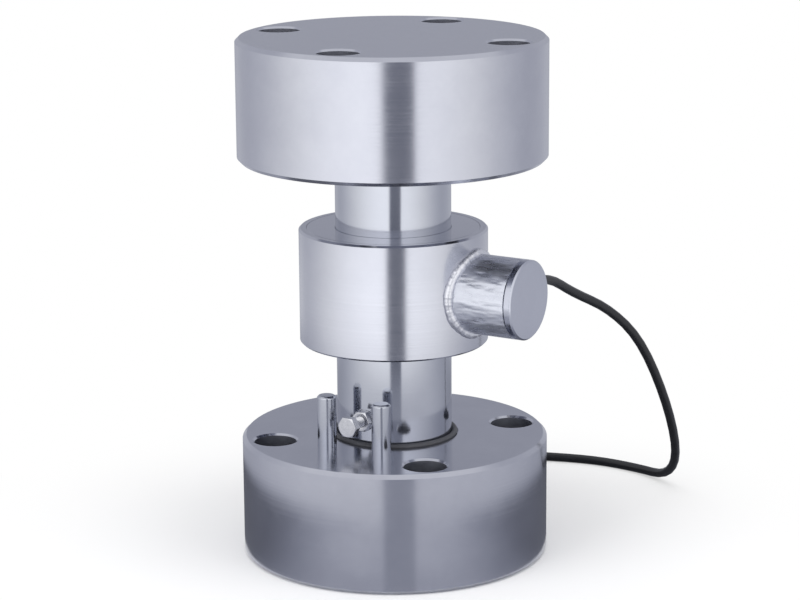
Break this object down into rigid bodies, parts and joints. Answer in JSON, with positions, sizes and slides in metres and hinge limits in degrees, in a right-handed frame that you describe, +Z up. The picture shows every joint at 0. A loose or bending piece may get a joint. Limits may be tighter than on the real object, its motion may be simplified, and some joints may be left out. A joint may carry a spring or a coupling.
{
  "type": "compression load cell",
  "caption": "Canister compression load cell: a steel column in a sealed sleeve between two thick round mounting plates, with a side cable stub and anti-rotation pins.",
  "frame": {"origin": "centre of the base plate's underside, on the load axis", "axes": "+Z up the load axis from the base plate to the top plate; +X along the cable stub; -Y towards the anti-rotation screw and its two pins"},
  "size_m": [0.2164, 0.2641, 0.272],
  "materials": {
    "plate_steel": "ground and polished",
    "column_steel": "polished",
    "sleeve_steel": "polished",
    "stub_steel": "polished, turned end",
    "hardened_steel": "ground",
    "pin_steel": "ground",
    "plated_steel": "bright zinc plating",
    "seal_rubber": "matt",
    "gland_metal": "nickel plated",
    "board_laminate": "glass fibre laminate",
    "gauge_foil": "polyimide film",
    "potting_silicone": "poured silicone",
    "cable_jacket": "smooth matt jacket",
    "tie_fabric": "woven strap",
    "shrink_sleeve": "shrunk",
    "core_red": "insulation",
    "core_black": "insulation",
    "core_green": "insulation",
    "core_white": "insulation"
  },
  "bodies": {
    "root": {"base_plate": "plate_steel", "top_plate": "plate_steel", "lower_pressure_disc": "hardened_steel", "upper_pressure_disc": "hardened_steel", "lower_seal_ring": "seal_rubber", "upper_seal_ring": "seal_rubber", "load_column": "column_steel", "sleeve": "sleeve_steel", "lower_end_ring": "sleeve_steel", "upper_end_ring": "sleeve_steel", "strain_gauge_1": "gauge_foil", "strain_gauge_2": "gauge_foil", "strain_gauge_3": "gauge_foil", "strain_gauge_4": "gauge_foil", "bridge_board": "board_laminate", "inner_lead": "cable_jacket", "stub_housing": "stub_steel", "terminal_board": "board_laminate", "stub_end_cap": "stub_steel", "cap_seal_ring": "seal_rubber", "stub_potting": "potting_silicone", "gland_washer": "seal_rubber", "gland_body": "gland_metal", "gland_nut": "gland_metal", "cable_boot": "seal_rubber", "cable_root": "cable_jacket", "cable": "cable_jacket", "cable_coil": "cable_jacket", "coil_tie": "tie_fabric", "cable_end_sleeve": "shrink_sleeve", "cable_core_1": "core_red", "cable_core_2": "core_black", "cable_core_3": "core_green", "cable_core_4": "core_white", "anti_rotation_pin_1": "pin_steel", "anti_rotation_pin_2": "pin_steel", "anti_rotation_screw": "plated_steel", "anti_rotation_nut": "plated_steel"}
  },
  "joints": []
}
